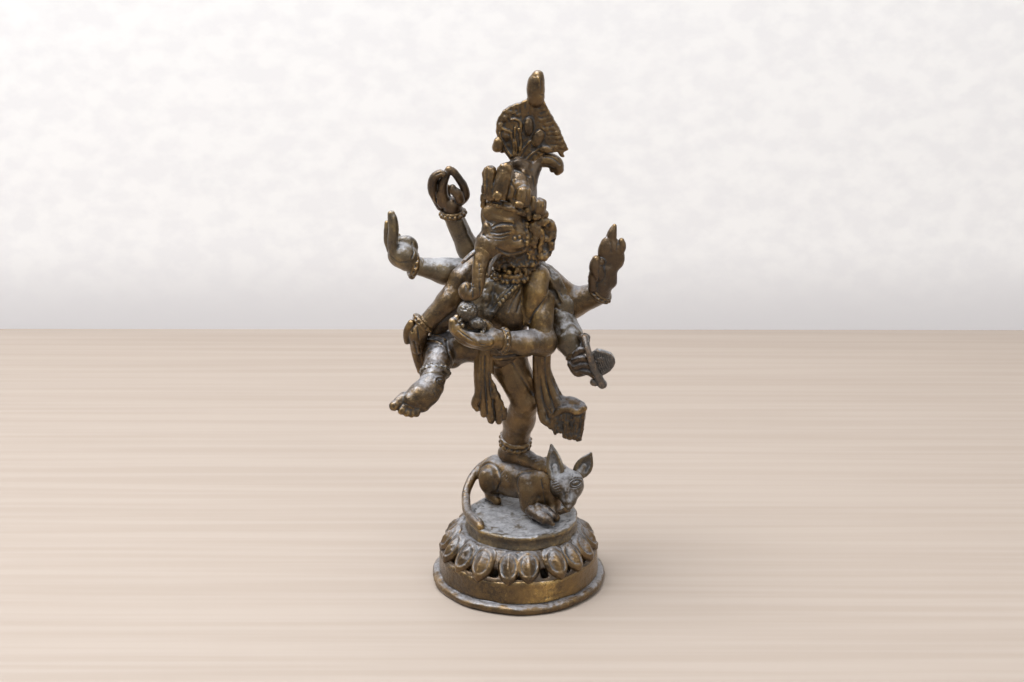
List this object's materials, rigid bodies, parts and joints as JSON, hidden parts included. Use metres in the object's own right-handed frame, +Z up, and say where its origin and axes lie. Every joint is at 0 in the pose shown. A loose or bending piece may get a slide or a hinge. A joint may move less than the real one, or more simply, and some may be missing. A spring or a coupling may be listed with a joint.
{
  "type": "brass dancing elephant-headed statuette",
  "caption": "Cast brass dancing figure with an elephant's head and many arms, balanced on a mouse on a round hollow lotus pedestal.",
  "frame": {"origin": "centre of the round foot ring, on the surface it stands on", "axes": "+Z up; the figure's front looks towards -Y and a little towards -X; +X towards the figure's left"},
  "size_m": [0.0773, 0.058, 0.1707],
  "materials": {
    "antique_brass": "aged cast brass, dark brown patina, satin",
    "dusty_brass": "aged cast brass with blue-grey dust, matt",
    "dark_brass": "aged cast brass, near-black patina in recesses",
    "worn_brass": "aged cast brass, rubbed to ochre on high spots",
    "pale_brass": "pale grey worn metal"
  },
  "bodies": {
    "root": {"foot_ring": "antique_brass", "base_band": "worn_brass", "lotus_shoulder": "dark_brass", "lotus_petals": "antique_brass", "platform_drum": "dusty_brass", "figure_pin": "worn_brass", "mouse_body": "antique_brass", "mouse_head": "dusty_brass", "mouse_ears": "dusty_brass", "mouse_tail": "antique_brass", "mouse_sweets": "dark_brass", "standing_leg": "antique_brass", "standing_anklet": "worn_brass", "raised_leg": "antique_brass", "raised_anklet": "dusty_brass", "torso": "antique_brass", "chest_cloth": "dusty_brass", "necklace": "worn_brass", "sash_end_centre": "antique_brass", "sash_end_side": "antique_brass", "head": "antique_brass", "trunk": "antique_brass", "tusks": "pale_brass", "ear_left": "antique_brass", "ear_right": "antique_brass", "crown_band": "antique_brass", "crown_leaves": "antique_brass", "crown_jewels": "worn_brass", "topknot": "dark_brass", "crest_fan": "antique_brass", "crest_finial": "antique_brass", "crest_curls": "antique_brass", "rear_arm_block": "dusty_brass", "front_right_arm": "antique_brass", "front_right_hand": "antique_brass", "front_left_upper_arm": "worn_brass", "front_left_forearm": "worn_brass", "front_left_hand": "worn_brass", "sweets": "dusty_brass", "upper_right_arm": "dusty_brass", "upper_right_hand": "dark_brass", "lower_right_arm": "dusty_brass", "lower_right_hand": "dusty_brass", "upper_left_arm": "antique_brass", "upper_left_hand": "dark_brass", "lower_left_arm": "dusty_brass", "lower_left_hand": "dark_brass", "axe": "dark_brass", "bracelets": "worn_brass"}
  },
  "joints": []
}
